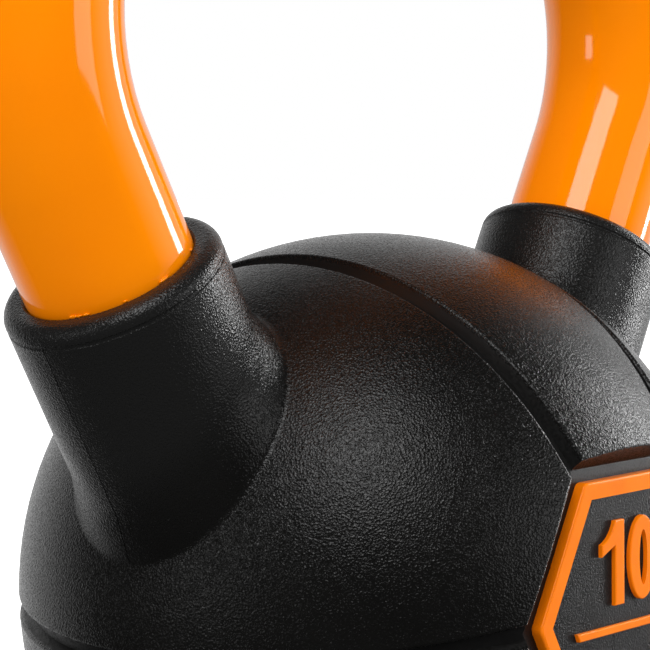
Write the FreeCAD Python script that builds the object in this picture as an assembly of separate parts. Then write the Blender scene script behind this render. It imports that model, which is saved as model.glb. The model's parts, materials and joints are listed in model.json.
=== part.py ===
import FreeCAD, Part
import math
import os

# Kettlebell: an iron core and a bent tube handle inside a two-part rubber jacket, with a badge on each face.
# Millimetres, +Z up. The origin is on the floor, under the middle of the ball. The handle's loop lies in the
# XZ plane, and the badges face -Y (front) and +Y (rear).

V = FreeCAD.Vector

# Ball and base
BALL_R = 76.0
CENTRE_H = 61.0
BASE_ROUND = 2.5

# Handle: each leg leaves the ball on a tilted axis, then one arc turns it into the straight grip
LEG_X = 39.3
LEG_TILT = 29.4
TUBE_R = 17.3
TUBE_WALL = 3.5
TUBE_FOOT = -6.0
LEG_LENGTH = 106.5
BEND_R = 54.3

# Collars moulded round the legs
COLLAR_R = 22.4
COLLAR_LENGTH = 81.9
COLLAR_RIM_R = 3.0
SKIRT_OUT = 2.8
SKIRT_UP = 8.0
SKIRT_TOP_R = 16.0
SKIRT_FOOT_R = 1.8
RIM_LINE_DROP = 3.6
RIM_LINE_R = 0.7
RIM_LINE_DEPTH = 0.22
MOUTH_R = 17.9
MOUTH_DEPTH = 0.4
SEAL_GAP = 0.15
SEAL_DEPTH = 3.0
SEAM_WIDTH = 0.2
SEAM_DEPTH = 0.4

# Core, plugs, pins and welds
CORE_R = 66.0
CORE_FACE_Y = 59.0
CORE_BASE_GAP = 8.0
PLUG_LENGTH = 8.0
PIN_R = 3.0
PIN_ALONG = 15.0
PIN_HALF = 41.0
WELD_LEG = 2.5
WELD_SEAT_MARGIN = 0.5

# Grooves between the jacket's panels; one wall is steep and the other, on the top and bottom panels, slopes
GROOVE_HALF = 2.2
GROOVE_DEPTH = 2.2
STEEP_FOOT = 1.7
SLOPE_FOOT = 0.9
PANEL_ROUND = 0.7
TOP_GROOVE_X = 12.54
TOP_GROOVE_LEAN = 0.188
SIDE_GROOVE_Z = 7.3
SIDE_GROOVE_LEAN = 0.1735

# Badge and the pocket that holds it; the badge's middle is a little above the ball's, and distances along Y are
# from the ball's middle plane
BADGE_RISE = 1.3
POCKET_FLOOR_Y = 64.3
POCKET_APOTHEM = 29.5
POCKET_DRAFT = 0.97
BADGE_BACK_Y = 62.8
PLATE_FACE_Y = 65.7
FRAME_FACE_Y = 66.7
FRAME_APOTHEM = 26.9
FRAME_HOLE_APOTHEM = 23.5
FRAME_CORNER_R = 1.8
FRAME_EDGE_R = 0.6
DIGIT_EDGE_R = 0.3

# Number on the badge, measured from the middle of the hexagon
DIGIT_FOOT = 1.3
DIGIT_HEAD = 18.4
STEM_LEFT = -5.05
STEM_RIGHT = -1.8
FLAG_TIP_X = -9.75
FLAG_TIP_TOP = 14.0
FLAG_TIP_FOOT = 11.5
FLAG_NOTCH = 13.4
FLAG_SAG = 0.6
ZERO_X = 5.1
ZERO_HALF_W = 4.8
ZERO_HOLE_HALF_W = 1.45
ZERO_HOLE_HALF_H = 5.6
BAR_HALF = 18.4
BAR_TOP = -2.6
BAR_H = 1.6
BAR_SLANT = 0.8

CENTRE = V(0, 0, CENTRE_H)
BADGE_MIDDLE = CENTRE + V(0, 0, BADGE_RISE)
HEX_CORNER = 1 / math.cos(math.pi / 6)
FAR = 4 * BALL_R
CUTTER_CLEARANCE = BALL_R / 10
TINY = 0.01


def leg_direction(side):
    """Unit vector up the leg's axis; side is -1 for the left leg and +1 for the right."""
    tilt = math.radians(LEG_TILT)
    return V(side * math.sin(tilt), 0, math.cos(tilt))


def leg_outward(side):
    """Unit vector square to the leg's axis, away from the middle of the handle's loop."""
    up = leg_direction(side)
    return V(side * up.z, 0, -side * up.x)


def leg_point(side, along):
    """Point on the leg's axis, measured from the height of the ball's centre."""
    return CENTRE + V(side * LEG_X, 0, 0) + leg_direction(side) * along


def cylinder(radius, start, end):
    return Part.makeCylinder(radius, (end - start).Length, start, end - start)


def leg_rod(side, radius, start, end):
    """Round bar along the leg's axis between two distances."""
    return cylinder(radius, leg_point(side, start), leg_point(side, end))


def leg_cone(side, start_radius, end_radius, start, end):
    """Cone along the leg's axis between two distances."""
    return Part.makeCone(start_radius, end_radius, end - start, leg_point(side, start), leg_direction(side))


def disc(radius, centre, normal):
    return Part.Face(Part.Wire(Part.Circle(centre, normal, radius).toShape()))


def edges_at(body, test):
    """Edges of a solid whose middle point passes the test."""
    found = []
    for edge in body.Edges:
        if edge.Degenerated:
            continue
        middle = edge.valueAt((edge.FirstParameter + edge.LastParameter) / 2)
        if test(middle):
            found.append(edge)
    return found


def handle_rod(radius):
    """The whole loop as one solid bar: leg, bend, grip, bend, leg."""
    pieces = []
    grip_ends = []
    for side in (-1, 1):
        start = leg_point(side, LEG_LENGTH)
        up = leg_direction(side)
        bend_centre = start - leg_outward(side) * BEND_R
        pieces.append(leg_rod(side, radius, TUBE_FOOT, LEG_LENGTH))
        pieces.append(disc(radius, start, up).revolve(bend_centre, V(0, -side, 0), 90 + LEG_TILT))
        grip_ends.append(bend_centre + V(0, 0, BEND_R))
    pieces.append(cylinder(radius, grip_ends[0], grip_ends[1]))
    return pieces[0].fuse(pieces[1:]).removeSplitter()


def cross_pin(side, half_length):
    """Pin through the core and both walls of the tube, along Y."""
    middle = leg_point(side, PIN_ALONG)
    reach = V(0, half_length, 0)
    return cylinder(PIN_R, middle - reach, middle + reach)


def handle_tube():
    """Bent tube, open at both ends, with the cross pins' holes in it."""
    tube = handle_rod(TUBE_R).cut(handle_rod(TUBE_R - TUBE_WALL))
    for side in (-1, 1):
        tube = tube.cut(cross_pin(side, PIN_HALF))
    return tube


def tube_plug(side):
    """Round plug, flush with the open end of the tube."""
    return leg_rod(side, TUBE_R - TUBE_WALL, TUBE_FOOT, TUBE_FOOT + PLUG_LENGTH)


def weld_seat():
    """Distance along a leg's axis at which a boss as wide as the weld stands clear of the core all round."""
    tilt = math.radians(LEG_TILT)
    inner_offset = LEG_X * math.cos(tilt) - TUBE_R - WELD_LEG
    return math.sqrt(CORE_R ** 2 - inner_offset ** 2) - LEG_X * math.sin(tilt) + WELD_SEAT_MARGIN


def weld_bead(side):
    """Sloping ring in the corner between the tube and the core's boss."""
    seat = weld_seat()
    bead = leg_cone(side, TUBE_R + WELD_LEG, TUBE_R, seat, seat + WELD_LEG)
    return bead.cut(leg_rod(side, TUBE_R, TUBE_FOOT, FAR))


def core_outside():
    """Iron ball with flats behind the badges and below, and a round boss for each leg."""
    width = 2 * CORE_R
    flats = Part.makeBox(width, 2 * CORE_FACE_Y, width, V(-CORE_R, -CORE_FACE_Y, CORE_BASE_GAP))
    core = Part.makeSphere(CORE_R, CENTRE).common(flats)
    for side in (-1, 1):
        core = core.fuse(leg_rod(side, TUBE_R + WELD_LEG, 0, weld_seat()))
    return core


def cast_core():
    """The core with a blind socket for each leg and a drilled hole for each cross pin."""
    core = core_outside()
    for side in (-1, 1):
        core = core.cut(leg_rod(side, TUBE_R, TUBE_FOOT, FAR))
        core = core.cut(cross_pin(side, PIN_HALF))
    return core


def beside_leg(point):
    """Distance along the nearer leg's axis, and distance from that axis."""
    side = 1 if point.x > 0 else -1
    offset = point - leg_point(side, 0)
    along = offset.dot(leg_direction(side))
    return along, (offset - leg_direction(side) * along).Length


def on_collar_rim(point):
    along, away = beside_leg(point)
    return abs(along - COLLAR_LENGTH) < TINY and abs(away - COLLAR_R) < TINY


def on_ball(point):
    return abs((point - CENTRE).Length - BALL_R) < TINY


def on_collar_root(point):
    return on_ball(point) and abs(beside_leg(point)[1] - COLLAR_R) < TINY


def on_skirt_top(point):
    along, away = beside_leg(point)
    return abs(away - COLLAR_R) < TINY and along < COLLAR_LENGTH - TINY and not on_ball(point)


def on_skirt_foot(point):
    along, away = beside_leg(point)
    return on_ball(point) and along > 0 and COLLAR_R + TINY < away < COLLAR_R + 2 * SKIRT_OUT


def on_floor(point):
    return abs(point.z) < TINY


def jacket_outside():
    """Ball with a flat base and two collars, each with a flared skirt at its foot; the outer edges are rounded."""
    body = Part.makeSphere(BALL_R, CENTRE)
    for side in (-1, 1):
        body = body.fuse(leg_rod(side, COLLAR_R, 0, COLLAR_LENGTH))
    body = body.makeChamfer(SKIRT_OUT, SKIRT_UP, edges_at(body, on_collar_root))
    body = body.makeFillet(SKIRT_TOP_R, edges_at(body, on_skirt_top))
    body = body.makeFillet(SKIRT_FOOT_R, edges_at(body, on_skirt_foot))
    body = body.makeFillet(COLLAR_RIM_R, edges_at(body, on_collar_rim))
    body = body.cut(Part.makeBox(FAR, FAR, FAR, V(-FAR / 2, -FAR / 2, -FAR)))
    return body.makeFillet(BASE_ROUND, edges_at(body, on_floor))


def ring_groove(plane_normal, plane_offset):
    """Ring that cuts a groove all round the ball; its steep wall is on the side the plane's normal points to."""
    normal = V(plane_normal)
    offset = plane_offset / normal.Length
    normal.normalize()
    floor_r = math.sqrt((BALL_R - GROOVE_DEPTH) ** 2 - offset ** 2)
    top_r = floor_r + GROOVE_DEPTH + CUTTER_CLEARANCE
    lift = (top_r - floor_r) / GROOVE_DEPTH
    steep_top = STEEP_FOOT + (GROOVE_HALF - STEEP_FOOT) * lift
    slope_top = SLOPE_FOOT + (GROOVE_HALF - SLOPE_FOOT) * lift
    corners = []
    for across, radius in ((-slope_top, top_r), (-SLOPE_FOOT, floor_r),
                           (STEEP_FOOT, floor_r), (steep_top, top_r), (-slope_top, top_r)):
        corners.append(CENTRE + normal * (offset + across) + V(0, -radius, 0))
    return Part.Face(Part.makePolygon(corners)).revolve(CENTRE, normal, 360)


def groove_cutters():
    """Two grooves over the top, two below and one round each side; all of them end in the badge pockets."""
    start = POCKET_APOTHEM - 2 * GROOVE_HALF
    cutters = []
    for side in (-1, 1):
        for up in (-1, 1):
            low = start if up > 0 else -start - FAR
            half = Part.makeBox(FAR, FAR, FAR, CENTRE + V(-FAR / 2, -FAR / 2, low))
            ring = ring_groove(V(side, 0, -up * TOP_GROOVE_LEAN), TOP_GROOVE_X)
            cutters.append(ring.common(half))
        near = start if side > 0 else -start - FAR
        half = Part.makeBox(FAR, FAR, FAR, CENTRE + V(near, -FAR / 2, -FAR / 2))
        cutters.append(ring_groove(V(side * SIDE_GROOVE_LEAN, 0, 1), SIDE_GROOVE_Z).common(half))
    return cutters


def hexagon(apothem, distance):
    """Closed hexagon round the front badge's middle, at a distance from the ball's middle plane."""
    radius = apothem * HEX_CORNER
    corners = []
    for step in range(7):
        angle = math.radians(60 * step)
        corners.append(BADGE_MIDDLE + V(radius * math.cos(angle), -distance, radius * math.sin(angle)))
    return Part.makePolygon(corners)


def front_block(outline, depth):
    """Solid that stands forward from a closed outline."""
    return Part.Face(outline).extrude(V(0, -depth, 0))


def pocket_cutter():
    """Front pocket: flat hexagonal floor, sloping walls, and the seat of the badge plate."""
    rise = BALL_R - POCKET_FLOOR_Y
    floor = hexagon(POCKET_APOTHEM, POCKET_FLOOR_Y)
    mouth = hexagon(POCKET_APOTHEM + POCKET_DRAFT * rise, POCKET_FLOOR_Y + rise)
    seat = front_block(hexagon(FRAME_APOTHEM, BADGE_BACK_Y), rise)
    return Part.makeLoft([floor, mouth], True, True).fuse(seat)


def turned_to_rear(shape):
    """The same piece on the other face, turned about the vertical axis so that it still reads correctly."""
    turned = shape.copy()
    turned.rotate(V(0, 0, 0), V(0, 0, 1), 180)
    return turned


def collar_mouth(side):
    """Countersink and narrow ring gap between the collar and the tube."""
    sink = leg_cone(side, TUBE_R, MOUTH_R, COLLAR_LENGTH - MOUTH_DEPTH, COLLAR_LENGTH)
    gap = leg_rod(side, TUBE_R + SEAL_GAP, COLLAR_LENGTH - SEAL_DEPTH, COLLAR_LENGTH + SEAL_DEPTH)
    return sink.fuse(gap)


def rim_line(side):
    """Shallow ring groove a little below the collar's rim."""
    ring_r = COLLAR_R + RIM_LINE_R - RIM_LINE_DEPTH
    return Part.makeTorus(ring_r, RIM_LINE_R, leg_point(side, COLLAR_LENGTH - RIM_LINE_DROP), leg_direction(side))


def collar_seam(side):
    """Fine line down the collar's outer side, where the jacket's two halves meet."""
    out = leg_outward(side)
    foot = leg_point(side, 0) - V(0, SEAM_WIDTH / 2, 0)
    head = leg_point(side, COLLAR_LENGTH - RIM_LINE_DROP) - V(0, SEAM_WIDTH / 2, 0)
    near = out * (COLLAR_R - SEAM_DEPTH)
    far = out * (COLLAR_R + 2 * SKIRT_OUT)
    strip = Part.makePolygon([foot + near, head + near, head + far, foot + far, foot + near])
    return Part.Face(strip).extrude(V(0, SEAM_WIDTH, 0)).cut(Part.makeSphere(BALL_R, CENTRE))


def jacket():
    """Whole jacket: grooved and pocketed outside, hollow for the core, the welds and the tube."""
    body = jacket_outside()
    for cutter in groove_cutters():
        body = body.cut(cutter)
    pocket = pocket_cutter()
    body = body.cut(pocket).cut(turned_to_rear(pocket))
    body = body.makeFillet(PANEL_ROUND, edges_at(body, on_ball))
    body = body.cut(core_outside())
    for side in (-1, 1):
        seat = weld_seat()
        body = body.cut(leg_cone(side, TUBE_R + WELD_LEG, TUBE_R, seat, seat + WELD_LEG))
        body = body.cut(leg_rod(side, TUBE_R, seat, FAR))
        body = body.cut(collar_mouth(side))
        body = body.cut(rim_line(side)).cut(collar_seam(side))
    return body


def jacket_half(whole, front):
    """Half of the jacket, on one side of the middle plane."""
    start = -FAR if front else 0
    return whole.common(Part.makeBox(FAR, FAR, FAR, V(-FAR / 2, start, -FAR / 2)))


def badge_plate():
    """Dark plate: a thin hexagon in the pocket's seat, with a raised field inside the frame."""
    flange = front_block(hexagon(FRAME_APOTHEM, BADGE_BACK_Y), POCKET_FLOOR_Y - BADGE_BACK_Y)
    field = front_block(hexagon(FRAME_HOLE_APOTHEM, POCKET_FLOOR_Y), PLATE_FACE_Y - POCKET_FLOOR_Y)
    return flange.fuse(field)


def badge_frame():
    """Raised hexagonal border with rounded outer corners and a soft outer edge."""
    frame = front_block(hexagon(FRAME_APOTHEM, POCKET_FLOOR_Y), FRAME_FACE_Y - POCKET_FLOOR_Y)
    corner_r = FRAME_APOTHEM * HEX_CORNER
    face_y = -FRAME_FACE_Y
    middle_y = -(POCKET_FLOOR_Y + FRAME_FACE_Y) / 2

    def on_corner(point):
        from_middle = math.hypot(point.x, point.z - BADGE_MIDDLE.z)
        return abs(point.y - middle_y) < TINY and abs(from_middle - corner_r) < TINY

    def on_face(point):
        return abs(point.y - face_y) < TINY

    frame = frame.makeFillet(FRAME_CORNER_R, edges_at(frame, on_corner))
    frame = frame.makeFillet(FRAME_EDGE_R, edges_at(frame, on_face))
    hole = front_block(hexagon(FRAME_HOLE_APOTHEM, POCKET_FLOOR_Y), BALL_R)
    return frame.cut(hole)


def badge_point(x, z):
    """Point on the plate's face, measured from the middle of the hexagon."""
    return BADGE_MIDDLE + V(x, -PLATE_FACE_Y, z)


def raised(outline):
    """Raised mark that stands on the plate's face, level with the frame, its front edges softened."""
    block = front_block(outline, FRAME_FACE_Y - PLATE_FACE_Y)
    return block.makeFillet(DIGIT_EDGE_R, edges_at(block, lambda point: abs(point.y + FRAME_FACE_Y) < TINY))


def digit_one():
    """Straight stem with a flag whose upper side sags a little."""
    head = badge_point(STEM_LEFT, DIGIT_HEAD)
    tip = badge_point(FLAG_TIP_X, FLAG_TIP_TOP)
    sag = (head + tip) * 0.5 + V(FLAG_SAG, 0, -FLAG_SAG)
    corners = [tip, badge_point(FLAG_TIP_X, FLAG_TIP_FOOT), badge_point(STEM_LEFT, FLAG_NOTCH),
               badge_point(STEM_LEFT, DIGIT_FOOT), badge_point(STEM_RIGHT, DIGIT_FOOT),
               badge_point(STEM_RIGHT, DIGIT_HEAD), head]
    edges = Part.makePolygon(corners).Edges
    edges.append(Part.Arc(head, sag, tip).toShape())
    return raised(Part.Wire(edges))


def upright_oval(half_width, half_height, middle):
    long_end = middle + V(0, 0, half_height)
    short_end = middle + V(half_width, 0, 0)
    return Part.Wire(Part.Ellipse(long_end, short_end, middle).toShape())


def digit_zero():
    """Tall oval ring."""
    half_height = (DIGIT_HEAD - DIGIT_FOOT) / 2
    middle = badge_point(ZERO_X, DIGIT_FOOT + half_height)
    ring = raised(upright_oval(ZERO_HALF_W, half_height, middle))
    return ring.cut(front_block(upright_oval(ZERO_HOLE_HALF_W, ZERO_HOLE_HALF_H, middle), BALL_R))


def badge_bar():
    """Thin level bar under the number, its ends cut parallel to the hexagon's sides."""
    foot = BAR_TOP - BAR_H
    corners = [badge_point(-BAR_HALF, BAR_TOP), badge_point(BAR_HALF, BAR_TOP),
               badge_point(BAR_HALF - BAR_SLANT, foot), badge_point(BAR_SLANT - BAR_HALF, foot)]
    return raised(Part.makePolygon(corners + corners[:1]))


def all_parts():
    whole = jacket()
    parts = {
        "cast_core": cast_core(),
        "handle_tube": handle_tube(),
        "jacket_front": jacket_half(whole, True),
        "jacket_rear": jacket_half(whole, False),
    }
    for side, name in ((-1, "left"), (1, "right")):
        parts[name + "_tube_plug"] = tube_plug(side)
        parts[name + "_cross_pin"] = cross_pin(side, PIN_HALF)
        parts[name + "_weld_bead"] = weld_bead(side)
    badge = {
        "badge_plate": badge_plate(),
        "badge_frame": badge_frame(),
        "digit_one": digit_one(),
        "digit_zero": digit_zero(),
        "badge_bar": badge_bar(),
    }
    for name, shape in badge.items():
        parts["front_" + name] = shape
        parts["rear_" + name] = turned_to_rear(shape)
    return parts


os.makedirs("parts", exist_ok=True)
for node, shape in all_parts().items():
    print(node, shape.isValid(), len(shape.Solids), round(shape.Volume, 1))
    shape.exportStep("parts/" + node + ".step")
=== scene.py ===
import bmesh
import bpy
import json
import math
import random
from mathutils import Matrix, Vector, noise


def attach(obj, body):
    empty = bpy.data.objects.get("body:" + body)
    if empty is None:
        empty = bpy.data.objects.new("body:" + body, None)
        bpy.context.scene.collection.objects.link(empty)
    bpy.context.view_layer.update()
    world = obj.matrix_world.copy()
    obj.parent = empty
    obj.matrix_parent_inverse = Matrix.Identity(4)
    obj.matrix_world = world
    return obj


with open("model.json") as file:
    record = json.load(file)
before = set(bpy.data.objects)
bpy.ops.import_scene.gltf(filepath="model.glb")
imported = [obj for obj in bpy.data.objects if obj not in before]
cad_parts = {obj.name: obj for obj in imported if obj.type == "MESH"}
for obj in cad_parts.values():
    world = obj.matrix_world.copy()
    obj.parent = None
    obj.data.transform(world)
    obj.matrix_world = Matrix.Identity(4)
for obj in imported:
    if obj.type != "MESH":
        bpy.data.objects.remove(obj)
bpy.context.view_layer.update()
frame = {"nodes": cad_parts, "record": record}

# Metres, in the CAD frame: +Z up, the front badge faces -Y, the origin is on the floor under the ball.
MM = 0.001
BALL_CENTRE = Vector((0, 0, 61 * MM))
WHITE = (1, 1, 1, 1)


def grey(level):
    return (level, level, level, 1)


def direction(azimuth, elevation):
    """Unit vector towards a light; azimuth 0 is -Y (in front of the badge) and 90 is +X, in degrees."""
    az = math.radians(azimuth)
    el = math.radians(elevation)
    return Vector((math.sin(az) * math.cos(el), -math.cos(az) * math.cos(el), math.sin(el)))


# ---------------------------------------------------------------- camera
CAMERA_FROM_BALL = Vector((-427.7, -343.1, 93.0)) * MM
CAMERA_YAW = 50.2927
CAMERA_DOWN = 3.841
CAMERA_ROLL = -0.6279
SENSOR_MM = 36.0
LENS_MM = 140.84
CLIP_START = 0.01
CLIP_END = 50


def make_camera():
    data = bpy.data.cameras.new("camera")
    data.sensor_width = SENSOR_MM
    data.lens = LENS_MM
    data.clip_start = CLIP_START
    data.clip_end = CLIP_END
    camera = bpy.data.objects.new("camera", data)
    bpy.context.scene.collection.objects.link(camera)
    yaw = math.radians(CAMERA_YAW)
    down = math.radians(CAMERA_DOWN)
    forward = Vector((math.sin(yaw) * math.cos(down), math.cos(yaw) * math.cos(down), -math.sin(down)))
    level_right = Vector((math.cos(yaw), -math.sin(yaw), 0))
    level_up = level_right.cross(forward)
    roll = math.radians(CAMERA_ROLL)
    right = level_right * math.cos(roll) + level_up * math.sin(roll)
    up = level_up * math.cos(roll) - level_right * math.sin(roll)
    rotation = Matrix((right, up, -forward)).transposed()
    camera.matrix_world = Matrix.Translation(BALL_CENTRE + CAMERA_FROM_BALL) @ rotation.to_4x4()
    bpy.context.scene.camera = camera


# ---------------------------------------------------------------- light
LIGHT_DISTANCE = 1.6
LIGHT_TARGET = BALL_CENTRE + Vector((0, 0, 40 * MM))


def softbox(name, azimuth, elevation, wide, tall, radiance):
    """Rectangular light aimed above the ball's middle; wide and tall are its angles in degrees."""
    data = bpy.data.lights.new(name, "AREA")
    data.shape = "RECTANGLE"
    data.size = 2 * LIGHT_DISTANCE * math.tan(math.radians(wide / 2))
    data.size_y = 2 * LIGHT_DISTANCE * math.tan(math.radians(tall / 2))
    data.energy = radiance * math.pi * data.size * data.size_y
    light = bpy.data.objects.new(name, data)
    bpy.context.scene.collection.objects.link(light)
    aim = direction(azimuth, elevation)
    light.location = LIGHT_TARGET + aim * LIGHT_DISTANCE
    light.rotation_euler = aim.to_track_quat("Z", "Y").to_matrix().to_euler()


def make_lights():
    softbox("key", -56, 50, 26, 30, 6.2)
    softbox("side_strip", 70, 11, 9, 44, 17.0)
    softbox("front_panel", 18, 14, 24, 30, 2.3)
    softbox("left_card", -105, 10, 12, 15, 4.0)


# Reflections see a dim room with one bright side; soft light and the camera each see an even tone.
BRIGHT_SIDE = direction(116, -4)
HEIGHT_WEIGHT = (1, 1, 3.2)
DARK_UNTIL = 0.1
DARK_LEVEL = 0.02
BRIGHT_FROM = 0.46
BRIGHT_LEVEL = 0.78
SOFT_LEVEL = 0.76


def make_world():
    """Studio with a bright right and back in reflections, and white where the camera looks past the part."""
    world = bpy.data.worlds.new("studio")
    bpy.context.scene.world = world
    world.use_nodes = True
    nodes = world.node_tree.nodes
    links = world.node_tree.links
    nodes.clear()
    coordinate = nodes.new("ShaderNodeTexCoord")
    squash = nodes.new("ShaderNodeVectorMath")
    squash.operation = "MULTIPLY"
    squash.inputs[1].default_value = HEIGHT_WEIGHT
    unit = nodes.new("ShaderNodeVectorMath")
    unit.operation = "NORMALIZE"
    towards_bright = nodes.new("ShaderNodeVectorMath")
    towards_bright.operation = "DOT_PRODUCT"
    towards_bright.inputs[1].default_value = BRIGHT_SIDE
    ramp = nodes.new("ShaderNodeValToRGB")
    dark, bright = ramp.color_ramp.elements
    dark.position = DARK_UNTIL
    dark.color = grey(DARK_LEVEL)
    bright.position = BRIGHT_FROM
    bright.color = grey(BRIGHT_LEVEL)
    links.new(coordinate.outputs["Generated"], squash.inputs[0])
    links.new(squash.outputs["Vector"], unit.inputs[0])
    links.new(unit.outputs["Vector"], towards_bright.inputs[0])
    links.new(towards_bright.outputs["Value"], ramp.inputs["Fac"])
    lit = nodes.new("ShaderNodeBackground")
    links.new(ramp.outputs["Color"], lit.inputs["Color"])
    seen = nodes.new("ShaderNodeBackground")
    seen.inputs["Color"].default_value = WHITE
    soft = nodes.new("ShaderNodeBackground")
    soft.inputs["Color"].default_value = grey(SOFT_LEVEL)
    path = nodes.new("ShaderNodeLightPath")
    mix_soft = nodes.new("ShaderNodeMixShader")
    mix_seen = nodes.new("ShaderNodeMixShader")
    output = nodes.new("ShaderNodeOutputWorld")
    links.new(path.outputs["Is Diffuse Ray"], mix_soft.inputs["Fac"])
    links.new(lit.outputs["Background"], mix_soft.inputs[1])
    links.new(soft.outputs["Background"], mix_soft.inputs[2])
    links.new(path.outputs["Is Camera Ray"], mix_seen.inputs["Fac"])
    links.new(mix_soft.outputs["Shader"], mix_seen.inputs[1])
    links.new(seen.outputs["Background"], mix_seen.inputs[2])
    links.new(mix_seen.outputs["Shader"], output.inputs["Surface"])


# ---------------------------------------------------------------- material helpers
class Look:
    """A node material with one Principled shader and short calls to build what feeds it."""

    def __init__(self, name, **values):
        self.material = bpy.data.materials.new(name)
        self.material.use_nodes = True
        self.nodes = self.material.node_tree.nodes
        self.links = self.material.node_tree.links
        self.shader = self.nodes["Principled BSDF"]
        self.point = self.nodes.new("ShaderNodeTexCoord").outputs["Object"]
        for socket, value in values.items():
            self.shader.inputs[socket.replace("_", " ")].default_value = value

    def feed(self, output, socket):
        self.links.new(output, self.shader.inputs[socket])

    def noise(self, size_mm, detail=3.0, roughness=0.5, distortion=0.0):
        node = self.nodes.new("ShaderNodeTexNoise")
        node.inputs["Scale"].default_value = 1000 / size_mm
        node.inputs["Detail"].default_value = detail
        node.inputs["Roughness"].default_value = roughness
        node.inputs["Distortion"].default_value = distortion
        self.links.new(self.point, node.inputs["Vector"])
        return node.outputs["Fac"]

    def cells(self, size_mm):
        node = self.nodes.new("ShaderNodeTexVoronoi")
        node.inputs["Scale"].default_value = 1000 / size_mm
        self.links.new(self.point, node.inputs["Vector"])
        return node.outputs["Distance"]

    def ramp(self, value, *stops):
        """Colour ramp; each stop is (position, colour or grey level)."""
        node = self.nodes.new("ShaderNodeValToRGB")
        while len(node.color_ramp.elements) < len(stops):
            node.color_ramp.elements.new(0.5)
        for element, (position, level) in zip(node.color_ramp.elements, stops):
            element.position = position
            element.color = grey(level) if isinstance(level, (int, float)) else (*level, 1)
        self.links.new(value, node.inputs["Fac"])
        return node.outputs["Color"]

    def blend(self, first, second, amount):
        """First colour turning into a fixed second colour by an amount."""
        node = self.nodes.new("ShaderNodeMix")
        node.data_type = "RGBA"
        colours = [socket for socket in node.inputs if socket.type == "RGBA"]
        colour_a = [socket for socket in colours if socket.name == "A"][0]
        colour_b = [socket for socket in colours if socket.name == "B"][0]
        colour_b.default_value = (*second, 1)
        self.links.new(first, colour_a)
        self.links.new(amount, node.inputs["Factor"])
        return [socket for socket in node.outputs if socket.type == "RGBA"][0]

    def spread(self, value, low, high):
        """Value from 0..1 spread between two numbers."""
        node = self.nodes.new("ShaderNodeMapRange")
        node.inputs["To Min"].default_value = low
        node.inputs["To Max"].default_value = high
        self.links.new(value, node.inputs["Value"])
        return node.outputs["Result"]

    def span(self, value, low, high):
        """Rises smoothly from 0 to 1 as a value goes from low to high."""
        node = self.nodes.new("ShaderNodeMapRange")
        node.interpolation_type = "SMOOTHSTEP"
        node.inputs["From Min"].default_value = low
        node.inputs["From Max"].default_value = high
        self.links.new(value, node.inputs["Value"])
        return node.outputs["Result"]

    def add(self, first, second, weight=1.0):
        """First value plus a weighted second one."""
        node = self.nodes.new("ShaderNodeMath")
        node.operation = "MULTIPLY_ADD"
        node.inputs[1].default_value = weight
        self.links.new(second, node.inputs[0])
        self.links.new(first, node.inputs[2])
        return node.outputs["Value"]

    def bump(self, height, depth_mm, strength=1.0):
        node = self.nodes.new("ShaderNodeBump")
        node.inputs["Distance"].default_value = depth_mm * MM
        node.inputs["Strength"].default_value = strength
        self.links.new(height, node.inputs["Height"])
        return node.outputs["Normal"]


# ---------------------------------------------------------------- materials
# Distances from the ball's centre where the grain starts and is full, and where the collars' painted sheen
# (a paler colour standing in for the pale floor reflected in them) does
GRAIN_FROM = 75.0 * MM
GRAIN_FULL = 75.7 * MM
COLLAR_PAINTED_SHEEN_FROM = 78 * MM
COLLAR_PAINTED_SHEEN_FULL = 92 * MM


def rubber():
    """Near-black moulded rubber: fine leathery grain on the outside, smooth in the grooves and pockets, with
    a painted sheen that makes the collars paler.
    """
    look = Look("black_rubber", Specular_IOR_Level=0.28)
    from_centre = look.nodes.new("ShaderNodeVectorMath")
    from_centre.operation = "DISTANCE"
    from_centre.inputs[1].default_value = BALL_CENTRE
    look.links.new(look.point, from_centre.inputs[0])
    outside = look.span(from_centre.outputs["Value"], GRAIN_FROM, GRAIN_FULL)
    cloud = look.noise(28, detail=4)
    base = look.ramp(cloud, (0.3, (0.0038, 0.0037, 0.0035)), (0.7, (0.0058, 0.0056, 0.0053)))
    scuffs = look.ramp(look.noise(2.2, detail=6, roughness=0.75), (0.70, 0.0), (0.80, 0.35))
    # Painted sheen: the collars turn paler with distance from the ball's centre, standing in for the pale
    # floor reflected in them
    collar_sheen_amount = look.span(from_centre.outputs["Value"], COLLAR_PAINTED_SHEEN_FROM, COLLAR_PAINTED_SHEEN_FULL)
    painted_collar_sheen = look.blend(base, (0.0095, 0.0095, 0.0093), collar_sheen_amount)
    look.feed(look.blend(painted_collar_sheen, (0.02, 0.02, 0.019), scuffs), "Base Color")
    patches = look.spread(look.noise(5, detail=4), 0.06, 0.12)
    grain = look.add(look.noise(0.38, detail=1, distortion=0.4), look.cells(0.5), 0.6)
    hollows = look.spread(look.span(grain, 0.55, 0.95), 0.26, 0.0)
    recesses = look.spread(outside, 0.24, 0.0)
    look.feed(look.add(look.add(patches, hollows), recesses), "Roughness")
    skin = look.bump(grain, 0.12)
    look.links.new(outside, skin.node.inputs["Strength"])
    look.feed(skin, "Normal")
    return look.material


def orange_paint():
    """Glossy sprayed enamel: slight tone drift, a faint orange-peel ripple and a few dull handling marks."""
    look = Look("orange_paint", Specular_IOR_Level=0.5)
    cloud = look.noise(40, detail=3)
    base = look.ramp(cloud, (0.3, (0.94, 0.228, 0.0)), (0.7, (0.98, 0.255, 0.0)))
    marks = look.ramp(look.noise(3.5, detail=7, roughness=0.7), (0.68, 0.0), (0.74, 0.5))
    look.feed(look.blend(base, (0.75, 0.14, 0.0), marks), "Base Color")
    look.feed(look.add(look.spread(look.noise(5, detail=5), 0.04, 0.10), marks, 0.12), "Roughness")
    look.feed(look.bump(look.noise(7, detail=1), 0.03, 0.5), "Normal")
    return look.material


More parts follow.
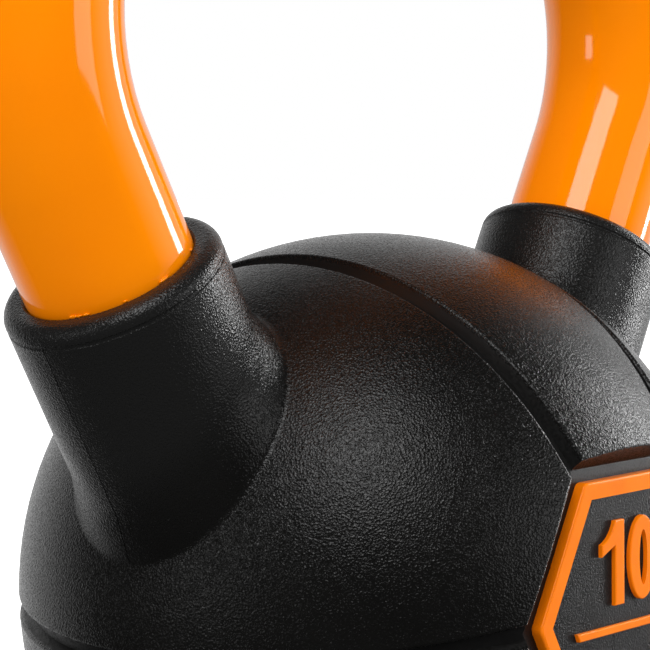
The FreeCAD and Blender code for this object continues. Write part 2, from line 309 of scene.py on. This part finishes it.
def dark_plastic():
    """Dull moulded plate with a fine speckled grain."""
    look = Look("badge_dark", Specular_IOR_Level=0.06)
    base = look.ramp(look.noise(12, detail=4), (0.3, 0.008), (0.7, 0.011))
    flecks = look.ramp(look.noise(0.5, detail=2), (0.45, 0.0), (0.75, 0.6))
    look.feed(look.blend(base, (0.022, 0.022, 0.022), flecks), "Base Color")
    look.feed(look.spread(look.noise(4, detail=4), 0.24, 0.32), "Roughness")
    look.feed(look.bump(look.noise(0.45, detail=3), 0.12, 0.9), "Normal")
    return look.material


def orange_plastic():
    """Satin moulded plastic with a faint grain and a few darker marks."""
    look = Look("badge_orange", Specular_IOR_Level=0.13)
    base = look.ramp(look.noise(8, detail=4), (0.3, (0.84, 0.175, 0.001)), (0.7, (0.92, 0.205, 0.002)))
    marks = look.ramp(look.noise(1.6, detail=6, roughness=0.7), (0.66, 0.0), (0.76, 0.5))
    look.feed(look.blend(base, (0.62, 0.09, 0.002), marks), "Base Color")
    look.feed(look.spread(look.noise(3, detail=4), 0.18, 0.28), "Roughness")
    look.feed(look.bump(look.noise(0.6, detail=3), 0.03, 0.5), "Normal")
    return look.material


def plain_steel():
    """Bare mild steel, hidden inside."""
    look = Look("plain_steel", Metallic=1.0, Roughness=0.35)
    look.feed(look.ramp(look.noise(3, detail=5), (0.3, 0.42), (0.7, 0.58)), "Base Color")
    look.feed(look.bump(look.noise(0.5, detail=3), 0.03, 0.4), "Normal")
    return look.material


def cast_iron():
    """Rough dark casting, hidden inside."""
    look = Look("cast_iron", Metallic=0.6, Roughness=0.7)
    look.feed(look.ramp(look.noise(5, detail=6), (0.3, 0.05), (0.7, 0.11)), "Base Color")
    look.feed(look.bump(look.noise(1.2, detail=5), 0.2, 0.6), "Normal")
    return look.material


LOOKS = {
    "jacket_rubber": rubber(),
    "handle_paint": orange_paint(),
    "badge_dark": dark_plastic(),
    "badge_orange": orange_plastic(),
    "plain_steel": plain_steel(),
    "core_iron": cast_iron(),
}


def dress_nodes():
    """Gives every CAD node the finish of its material slot."""
    for row in frame["record"]["subparts"]:
        node = frame["nodes"][row["node"]]
        node.data.materials.clear()
        node.data.materials.append(LOOKS[row["material_slot"]])


# ---------------------------------------------------------------- small visible details
# The CAD part's own sizes for a leg of the handle and its collar
LEG_X = 39.3 * MM
LEG_TILT = math.radians(29.4)
TUBE_R = 17.3 * MM
COLLAR_LENGTH = 81.9 * MM

BURR_CLEARANCE = 0.1 * MM
BURR_SIZE_MM = (0.3, 0.75)
BURR_STRETCH = (0.9, 2.4)
BURR_THICKNESS = 0.5
BURR_HEIGHT = 0.6
JAG_DEPTH = 0.35
JAG_DETAIL = 2.1
JAG_STEP = 3.7


def leg_frame(side):
    """Foot of a leg's axis, and unit vectors up it, outwards and towards the front; side is -1 or +1."""
    up = Vector((side * math.sin(LEG_TILT), 0, math.cos(LEG_TILT)))
    out = Vector((side * math.cos(LEG_TILT), 0, -math.sin(LEG_TILT)))
    return BALL_CENTRE + Vector((side * LEG_X, 0, 0)), up, out, Vector((0, -1, 0))


def paint_burrs(side, count):
    """Ragged little burrs of paint where the tube enters the collar, joined into one piece."""
    foot, up, out, front = leg_frame(side)
    mesh = bmesh.new()
    for number in range(count):
        angle = random.uniform(0, 2 * math.pi)
        size = random.uniform(*BURR_SIZE_MM) * MM
        around = out * math.cos(angle) + front * math.sin(angle)
        along = up.cross(around)
        place = foot + up * (COLLAR_LENGTH + BURR_CLEARANCE) + around * (TUBE_R + BURR_CLEARANCE)
        lump = bmesh.ops.create_icosphere(mesh, subdivisions=2, radius=1)["verts"]
        stretch = random.uniform(*BURR_STRETCH)
        for vert in lump:
            jag = 1 + JAG_DEPTH * noise.noise(vert.co * JAG_DETAIL + Vector((number * JAG_STEP, side, 0)))
            local = vert.co * size * jag
            sideways = along * (local.x * stretch) + around * (local.y * BURR_THICKNESS)
            vert.co = place + sideways + up * (local.z * BURR_HEIGHT)
    name = ("left" if side < 0 else "right") + "_paint_burrs"
    finish_piece(mesh, name, LOOKS["handle_paint"])


def finish_piece(mesh, name, material):
    """Turns the mesh into a smooth, named piece that rides on the body."""
    data = bpy.data.meshes.new(name)
    mesh.to_mesh(data)
    mesh.free()
    for polygon in data.polygons:
        polygon.use_smooth = True
    data.materials.append(material)
    piece = bpy.data.objects.new(name, data)
    bpy.context.scene.collection.objects.link(piece)
    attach(piece, "root")


FLOOR_SIZE = 12
FLOOR_FADE_FROM = 0.07
FLOOR_FADE_TO = 0.17


def make_floor():
    """Large pale floor that fades to white away from the base; reflections and bounced light miss it."""
    bpy.ops.mesh.primitive_plane_add(size=FLOOR_SIZE, location=(0, 0, 0))
    floor = bpy.context.object
    floor.name = "floor"
    look = Look("pale_floor", Roughness=0.9)
    base = look.ramp(look.noise(300, detail=2), (0.3, 0.80), (0.7, 0.84))
    look.feed(base, "Base Color")
    look.shader.inputs["Emission Color"].default_value = WHITE
    away = look.nodes.new("ShaderNodeVectorMath")
    away.operation = "LENGTH"
    look.links.new(look.point, away.inputs[0])
    fade = look.span(away.outputs["Value"], FLOOR_FADE_FROM, FLOOR_FADE_TO)
    look.feed(fade, "Emission Strength")
    floor.data.materials.append(look.material)
    floor.visible_glossy = False
    floor.visible_diffuse = False


make_camera()
make_world()
make_lights()
make_floor()
dress_nodes()
random.seed(7)
paint_burrs(-1, 14)
paint_burrs(1, 12)
bpy.context.scene.view_settings.view_transform = "Standard"
